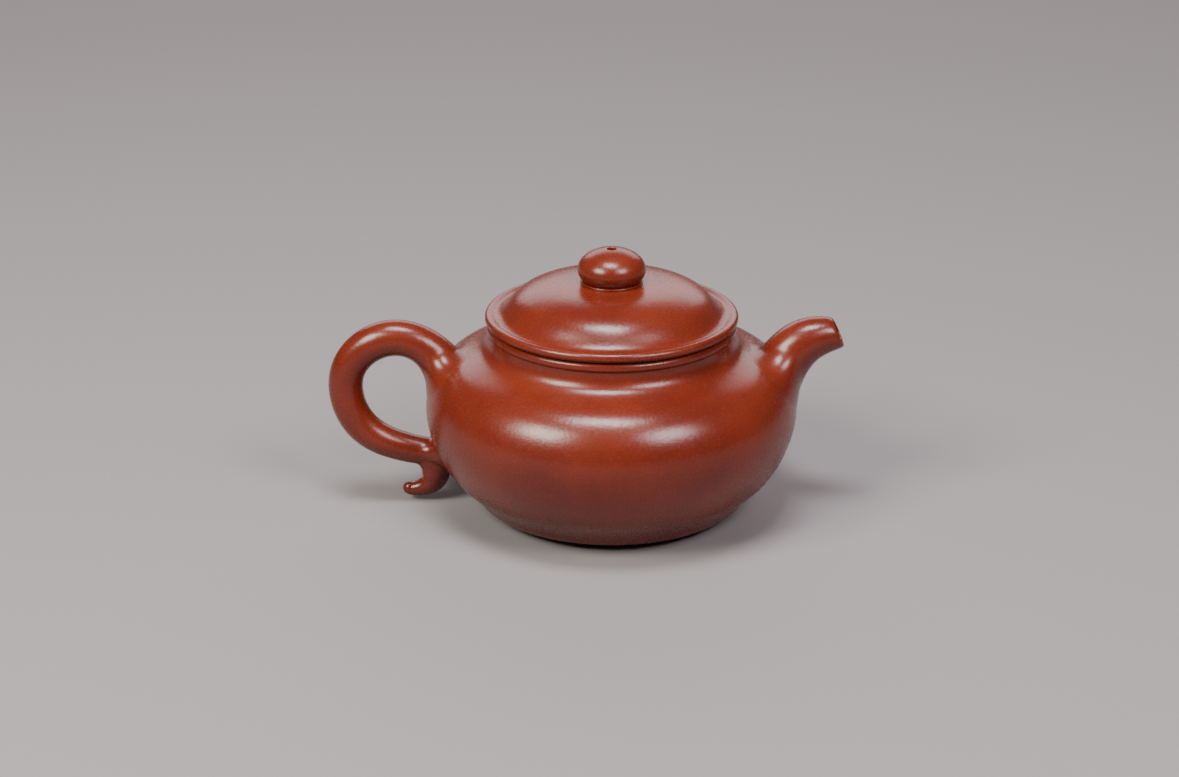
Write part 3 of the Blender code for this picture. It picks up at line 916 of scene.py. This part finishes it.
class TEAPOT_OT_pot_base(bpy.types.Operator):
    """Make the cambered floor of the pot and the ring that it stands on"""

    bl_idname = "teapot.pot_base"
    bl_label = "Pot base"

    def execute(self, context):
        sizes = context.scene.teapot_pot
        clay = bare_clay(context.scene.teapot_clay)
        outline = wall_outline(sizes)
        inside = outline - sizes.wall * sides_of(outline)
        flat = FOOT_RADIUS - sizes.foot_width
        out = np.linspace(0.0, flat, 24)
        rise = sizes.camber * (1.0 - (out / flat) ** 2)
        below = np.stack([out, FOOT_TOP + rise], axis=1)
        reach = FOOT_RADIUS + sizes.base_lap - 0.1 * MM
        edge = np.array([(FOOT_RADIUS - 0.2 * MM, FOOT_TOP + 0.02 * MM)])
        upper = inside[inside[:, 0] <= reach]
        upper = upper[upper[:, 1] < BASE_TOP + sizes.wall][::-4]
        above = np.stack([out, FOOT_TOP + sizes.wall + rise], axis=1)[::-1]
        section = np.vstack([below, edge, upper, above])
        mesh = mesh_from("base_disc", turned(section, BASE_TURNS), True)
        clay_piece("pot_floor", mesh, "pot", ("base_disc",), (clay,))
        low, high = levels_of("foot_ring")
        high += 0.5 * (FOOT_TOP - high)
        ease = 0.42 * (high - low)
        section = np.vstack(
            [
                [(flat, high)],
                arc((flat + ease, low + ease), ease, 180.0, 270.0, 8),
                arc((FOOT_RADIUS - ease, low + ease), ease, -90.0, 0.0, 8),
                [(FOOT_RADIUS, high)],
            ]
        )
        mesh = mesh_from("foot_ring", turned(section, BASE_TURNS), True)
        clay_piece("standing_ring", mesh, "pot", ("foot_ring",), (clay,))
        return {"FINISHED"}


class TEAPOT_OT_spout(bpy.types.Operator):
    """Make the curved spout with its bore and rounded lip, smoothed onto the wall"""

    bl_idname = "teapot.spout"
    bl_label = "Spout"

    def execute(self, context):
        sizes = context.scene.teapot_pot
        clay = context.scene.teapot_clay
        outline = wall_outline(sizes)
        sides = 96

        def beside(points):
            return beside_wall(points, outline)

        line = spout_line(sizes, outline, sizes.spout_root, sizes.spout_tip, 260)
        rings, way = swept(line, sides, sizes.spout_cut)
        start = leaving(beside(rings)[0])
        spacing = easing_in(110)
        lip_share = 0.14  # the last part of the skin, where its rows crowd towards the lip
        crowded = 1.0 - lip_share * easing_in(30)[::-1]
        spacing = np.concatenate([spacing[spacing < 1.0 - lip_share], crowded])
        fillet = side_fillet(sides, sizes.spout_crease, sizes.spout_fillet)
        skin = landed_part(rings, way, (start, len(rings) - 1.0), spacing, beside, fillet)
        bore_line = spout_line(sizes, outline, sizes.root_bore, sizes.tip_bore, 260)
        bore, _ = swept(bore_line, sides, sizes.spout_cut)
        inner = leaving(beside(bore)[0] + sizes.wall)
        bore = resampled(bore, inner, len(bore) - 1.0, np.linspace(0.0, 1.0, 70))[::-1]
        wall = sizes.spout_tip - sizes.tip_bore
        skin, lip, bore = rounded_lip(skin, bore, wall, sizes.lip_round)
        grid = np.concatenate([skin, lip, bore])
        first_inside = len(skin) + len(lip)
        mesh = mesh_from("spout", grid, True, (first_inside, len(grid)))
        both = (burnished_clay(clay), bare_clay(clay))
        clay_piece("curved_spout", mesh, "pot", ("spout",), both)
        return {"FINISHED"}


class TEAPOT_OT_strainer(bpy.types.Operator):
    """Make the pierced dome behind the spout, on the inside of the wall"""

    bl_idname = "teapot.strainer"
    bl_label = "Spout strainer"

    def execute(self, context):
        sizes = context.scene.teapot_pot
        clay = bare_clay(context.scene.teapot_clay)
        outline = wall_outline(sizes)
        line = spout_line(sizes, outline, sizes.root_bore, sizes.tip_bore, 400)
        middle_line = in_space(line)
        depth = beside_wall(middle_line, outline)[0] + sizes.wall
        crossing = int(np.argmax(depth > 0.0))
        middle = middle_line[crossing]
        inward = middle_line[crossing - 1] - middle_line[crossing]
        inward /= np.linalg.norm(inward)
        across = np.array([0.0, 1.0, 0.0])
        up = np.cross(inward, across)
        angle = np.linspace(0.0, math.tau, 96, endpoint=False)[None, :, None]
        spoke = np.cos(angle) * up + np.sin(angle) * across

        def dome(radius):
            """Points radius away from the middle, tilted from the inward way to the wall."""
            tilt = np.radians(np.linspace(0.0, 130.0, 200))[:, None, None]
            points = middle + radius * (np.cos(tilt) * inward + np.sin(tilt) * spoke)
            shown = leaving(beside_wall(points, outline)[0] + sizes.wall)
            return resampled(points, 0.0 * shown, shown, np.linspace(0.0, 1.0, 36))

        radius = sizes.root_bore + sizes.strainer_lap
        outer, inner = dome(radius), dome(radius - sizes.strainer_wall)
        mesh = mesh_from("spout_strainer", np.concatenate([outer, inner[::-1]]), False)
        pins = []
        for degrees, count in ((0.0, 1), (27.0, 6), (54.0, 11)):
            tilt = math.radians(degrees)
            turn = math.tau * np.arange(count)[:, None] / count
            ways = math.cos(tilt) * inward + math.sin(tilt) * (
                np.cos(turn) * up + np.sin(turn) * across
            )
            pins.append(ways)
        cutter = pin_mesh(middle, np.vstack(pins), radius, sizes.strainer_hole)
        mesh = pierced(mesh, cutter, "spout_strainer")
        nodes = ("spout_strainer",)
        clay_piece("pierced_strainer", mesh, "pot", nodes, (clay,))
        return {"FINISHED"}


class TEAPOT_OT_handle(bpy.types.Operator):
    """Make the ear-shaped handle and its curled tail, smoothed onto the wall"""

    bl_idname = "teapot.handle"
    bl_label = "Handle and tail"

    def execute(self, context):
        sizes = context.scene.teapot_pot
        clay = burnished_clay(context.scene.teapot_clay)
        outline = wall_outline(sizes)
        sides = 80

        def beside(points):
            return beside_wall(points, outline)

        line = handle_line(sizes, outline, 420)
        rings, way = swept(line, sides)
        distance = beside(rings)[0]
        half = len(rings) // 2
        first = leaving(distance[:half])
        last = len(rings) - 1.0 - leaving(distance[half:][::-1])
        step = np.linspace(0.0, 1.0, 260)
        spacing = 0.6 * step**2 * (3.0 - 2.0 * step) + 0.4 * step
        fillet = side_fillet(sides, sizes.handle_crease, sizes.handle_fillet)
        skin = landed_part(rings, way, (first, last), spacing, beside, fillet)
        tips = [ring.mean(axis=0) for ring in (skin[0], skin[-1])]
        tips = [tip - 1.2 * MM * beside(tip[None])[1][0] for tip in tips]
        mesh = mesh_from("handle", capped(skin, *tips), False)
        clay_piece("ear_handle", mesh, "pot", ("handle",), (clay,))

        def beside_both(points):
            return nearer(beside_wall(points, outline), beside_roll(points, line))

        count = 160
        tail = tail_line(sizes, outline, count)
        end_run = runs_of(tail)[-1]
        turn = np.linspace(0.0, 0.5 * math.pi, 16)[1:, None]
        cap = np.hstack(
            [
                tail[-1, :2] + tail[-1, 2] * np.sin(turn) * end_run,
                np.maximum(tail[-1, 2] * np.cos(turn), 0.0),
            ]
        )
        tail = np.vstack([tail, cap])
        rings, way = swept(tail, 64)
        start = leaving(beside_both(rings[:count])[0])
        ends = (start, count - 1.0)
        skin = landed_part(rings, way, ends, easing_in(90), beside_both, sizes.tail_fillet)
        skin = np.concatenate([skin, rings[count:]])
        root = skin[0].mean(axis=0)
        root = root + np.array([0.6 * MM, 0.0, 0.6 * MM])
        mesh = mesh_from("handle_tail", capped(skin, root, skin[-1].mean(axis=0)), False)
        clay_piece("curled_tail", mesh, "pot", ("handle_tail",), (clay,))
        return {"FINISHED"}


class TEAPOT_OT_lid(bpy.types.Operator):
    """Make the domed lid with its rim as one skin, and the flange under it"""

    bl_idname = "teapot.lid"
    bl_label = "Lid"

    def execute(self, context):
        sizes = context.scene.teapot_lid
        clay = context.scene.teapot_clay
        edge_round = 0.5 * (LID_RIM_TOP - LID_SEAT) - 0.05 * MM
        valley = LID_RIM_TOP - sizes.valley
        outside = dome_line(DOME_RADIUS + sizes.valley, valley, DOME_TOP, sizes.vent, 100)
        middle_out = LID_RADIUS - edge_round
        ease = np.linspace(0.0, 1.0, 12)[1:-1]
        climb = np.stack(
            [
                outside[-1, 0] + ease * (middle_out - outside[-1, 0]),
                valley + 0.5 * sizes.valley * (1.0 - np.cos(math.pi * ease)),
            ],
            axis=1,
        )
        outside = np.vstack([outside, climb])
        over = arc((middle_out, LID_RIM_TOP - edge_round), edge_round, 90.0, 0.0, 14)
        under = arc((middle_out, LID_SEAT + edge_round), edge_round, 0.0, -90.0, 14)
        inner = FLANGE_RADIUS - sizes.flange_wall
        hollow = dome_line(inner, LID_SEAT, DOME_TOP - sizes.wall, sizes.vent, 60)[::-1]
        section = np.vstack([outside, over, under, hollow])
        first_inside = len(outside) + len(over) + len(under) - 1
        grid = turned(section, LID_TURNS)
        mesh = mesh_from("domed_lid", grid, True, (first_inside, len(section)))
        both = (burnished_clay(clay), bare_clay(clay))
        clay_piece("domed_lid", mesh, "lid", ("lid_dome", "lid_rim"), both)
        ease = 0.5 * MM
        section = np.vstack(
            [
                [(inner, LID_SEAT)],
                arc((inner + ease, FLANGE_FOOT + ease), ease, 180.0, 270.0, 6),
                arc((FLANGE_RADIUS - ease, FLANGE_FOOT + ease), ease, -90.0, 0.0, 6),
                [(FLANGE_RADIUS, LID_SEAT)],
            ]
        )
        mesh = mesh_from("lid_flange", turned(section, FLANGE_TURNS), True)
        clay_piece("seating_flange", mesh, "lid", ("lid_flange",), both[1:])
        return {"FINISHED"}


class TEAPOT_OT_knob(bpy.types.Operator):
    """Make the flattened ball knob with its vent, and the thin collar under it"""

    bl_idname = "teapot.knob"
    bl_label = "Knob and collar"

    def execute(self, context):
        sizes = context.scene.teapot_lid
        clay = burnished_clay(context.scene.teapot_clay)
        middle = KNOB_TOP - sizes.knob_half * math.sqrt(1.0 - (sizes.vent / KNOB_RADIUS) ** 2)
        seat = DOME_TOP + sizes.seat
        first = math.asin((seat - middle) / sizes.knob_half)
        last = math.acos((sizes.vent + sizes.vent_round) / KNOB_RADIUS)
        turn = np.linspace(first, last, 64)
        oval = np.stack(
            [KNOB_RADIUS * np.cos(turn), middle + sizes.knob_half * np.sin(turn)], axis=1
        )
        edge = (sizes.vent + sizes.vent_round, oval[-1, 1] - sizes.vent_round)
        section = np.vstack(
            [
                [(sizes.vent, seat)],
                oval,
                arc(edge, sizes.vent_round, 90.0, 180.0, 8)[1:],
                np.stack(
                    [np.full(6, sizes.vent), np.linspace(edge[1], seat, 8)[1:-1]], axis=1
                ),
            ]
        )
        mesh = mesh_from("knob", turned(section, KNOB_TURNS), True)
        clay_piece("ball_knob", mesh, "lid", ("knob",), (clay,))
        dome = dome_line(DOME_RADIUS, LID_RIM_TOP, DOME_TOP, sizes.vent, 100)
        level = np.interp(COLLAR_RADIUS, dome[:, 0], dome[:, 1])
        half = 0.5 * (seat - level)
        cove = 0.2 * MM
        ring = arc((COLLAR_RADIUS - half, level + half), half, -60.0, 85.0, 16)
        foot = arc((ring[0, 0] + cove, level + cove), cove, 270.0, 200.0, 6)
        sunk = level - 0.2 * MM
        section = np.vstack(
            [[(sizes.vent, sunk), (ring[0, 0] + cove, sunk)], foot, ring, [(sizes.vent, seat)]]
        )
        mesh = mesh_from("knob_collar", turned(section, KNOB_TURNS), True)
        clay_piece("thin_collar", mesh, "lid", ("knob_collar",), (clay,))
        return {"FINISHED"}


def soft_box(name, direction, distance, size, watts, tint):
    """A soft box in a direction (degrees round from the front, degrees up), aimed at the pot."""
    turn, up = (math.radians(angle) for angle in direction)
    way = Vector((math.sin(turn) * math.cos(up), -math.cos(turn) * math.cos(up), math.sin(up)))
    light = bpy.data.lights.new(name, "AREA")
    light.shape = "RECTANGLE"
    light.size, light.size_y = size
    light.energy = watts
    light.color = tint
    made = bpy.data.objects.new(name, light)
    bpy.context.scene.collection.objects.link(made)
    made.location = Vector((AXIS_X, 0.0, 0.04)) + distance * way
    made.rotation_mode = "QUATERNION"
    made.rotation_quaternion = way.to_track_quat("Z", "Y")
    return made


class TEAPOT_OT_stage(bpy.types.Operator):
    """Make the pale floor, the four soft boxes, the room's light and the camera"""

    bl_idname = "teapot.stage"
    bl_label = "Stage"

    def execute(self, context):
        studio = context.scene.teapot_studio
        scene = context.scene
        half = 4.0
        corners = [(-half, -half, 0.0), (half, -half, 0.0), (half, half, 0.0), (-half, half, 0.0)]
        mesh = bpy.data.meshes.new("floor")
        mesh.from_pydata(corners, [], [(0, 1, 2, 3)])
        recipe = Recipe("pale floor")
        place = recipe.node("ShaderNodeTexCoord", None, None, output=3)
        clouds = recipe.noise(place, 3.0, 3.0, 0.6)
        pale = tuple(studio.floor)
        tint = recipe.mix(clouds * 0.12, pale, tuple(0.9 * part for part in pale))
        rough = 0.75 + (clouds - 0.5) * 0.08
        mesh.materials.append(recipe.finish({"Base Color": tint, "Roughness": rough}))
        floor = bpy.data.objects.new("floor", mesh)
        scene.collection.objects.link(floor)
        top, left = studio.top_power, studio.left_power
        right, back = studio.right_power, studio.back_power
        boxes = (
            ("overhead_box", (-15.0, 79.0), 1.0, (0.42, 0.25), top, (0.93, 0.97, 1.0)),
            ("left_box", (-50.0, 39.0), 1.0, (0.42, 0.35), left, (1.0, 0.96, 0.87)),
            ("back_box", (180.0, 24.0), 1.5, (1.6, 0.6), back, (1.0, 0.86, 0.87)),
            ("right_box", (42.0, 42.0), 1.0, (0.4, 0.33), right, (1.0, 0.88, 0.92)),
        )
        for box in boxes:
            soft_box(*box)
        world = bpy.data.worlds.new("room")
        world.use_nodes = True
        sky = world.node_tree.nodes["Background"]
        sky.inputs["Color"].default_value = (*studio.surround, 1.0)
        sky.inputs["Strength"].default_value = 0.13
        scene.world = world
        lens = bpy.data.cameras.new("camera")
        lens.lens = studio.lens
        lens.sensor_width = 36.0
        lens.clip_start = 0.01
        lens.clip_end = 20.0
        camera = bpy.data.objects.new("camera", lens)
        scene.collection.objects.link(camera)
        camera.location = (AXIS_X, -0.6717, 0.2924)
        aim = Vector((AXIS_X - 0.00565, 0.0, 0.0314))
        camera.rotation_mode = "QUATERNION"
        camera.rotation_quaternion = (aim - camera.location).to_track_quat("-Z", "Y")
        scene.camera = camera
        return {"FINISHED"}


class TEAPOT_PT_panel(bpy.types.Panel):
    """Sizes, clay and studio of the teapot, and the pieces that they make."""

    bl_idname = "TEAPOT_PT_panel"
    bl_label = "Clay teapot"
    bl_space_type = "VIEW_3D"
    bl_region_type = "UI"
    bl_category = "Teapot"

    def draw(self, context):
        for group in ("teapot_pot", "teapot_lid", "teapot_clay", "teapot_studio"):
            settings = getattr(context.scene, group)
            box = self.layout.box()
            for key in settings.bl_rna.properties.keys():
                if key not in ("rna_type", "name"):
                    box.prop(settings, key)
        for operator in OPERATORS:
            self.layout.operator(operator.bl_idname)


SETTINGS = {
    "teapot_pot": TeapotPotSizes,
    "teapot_lid": TeapotLidSizes,
    "teapot_clay": TeapotClay,
    "teapot_studio": TeapotStudio,
}
OPERATORS = (
    TEAPOT_OT_pot_wall,
    TEAPOT_OT_pot_base,
    TEAPOT_OT_spout,
    TEAPOT_OT_strainer,
    TEAPOT_OT_handle,
    TEAPOT_OT_lid,
    TEAPOT_OT_knob,
    TEAPOT_OT_stage,
)


def register():
    for group in SETTINGS.values():
        bpy.utils.register_class(group)
    for key, group in SETTINGS.items():
        setattr(bpy.types.Scene, key, bpy.props.PointerProperty(type=group))
    for operator in OPERATORS:
        bpy.utils.register_class(operator)
    bpy.utils.register_class(TEAPOT_PT_panel)


def unregister():
    bpy.utils.unregister_class(TEAPOT_PT_panel)
    for operator in reversed(OPERATORS):
        bpy.utils.unregister_class(operator)
    for key in SETTINGS:
        delattr(bpy.types.Scene, key)
    for group in reversed(SETTINGS.values()):
        bpy.utils.unregister_class(group)


def main():
    """Registers the classes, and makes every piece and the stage."""
    register()
    bpy.ops.teapot.pot_wall()
    bpy.ops.teapot.pot_base()
    bpy.ops.teapot.spout()
    bpy.ops.teapot.strainer()
    bpy.ops.teapot.handle()
    bpy.ops.teapot.lid()
    bpy.ops.teapot.knob()
    bpy.ops.teapot.stage()


if __name__ == "__main__":
    main()
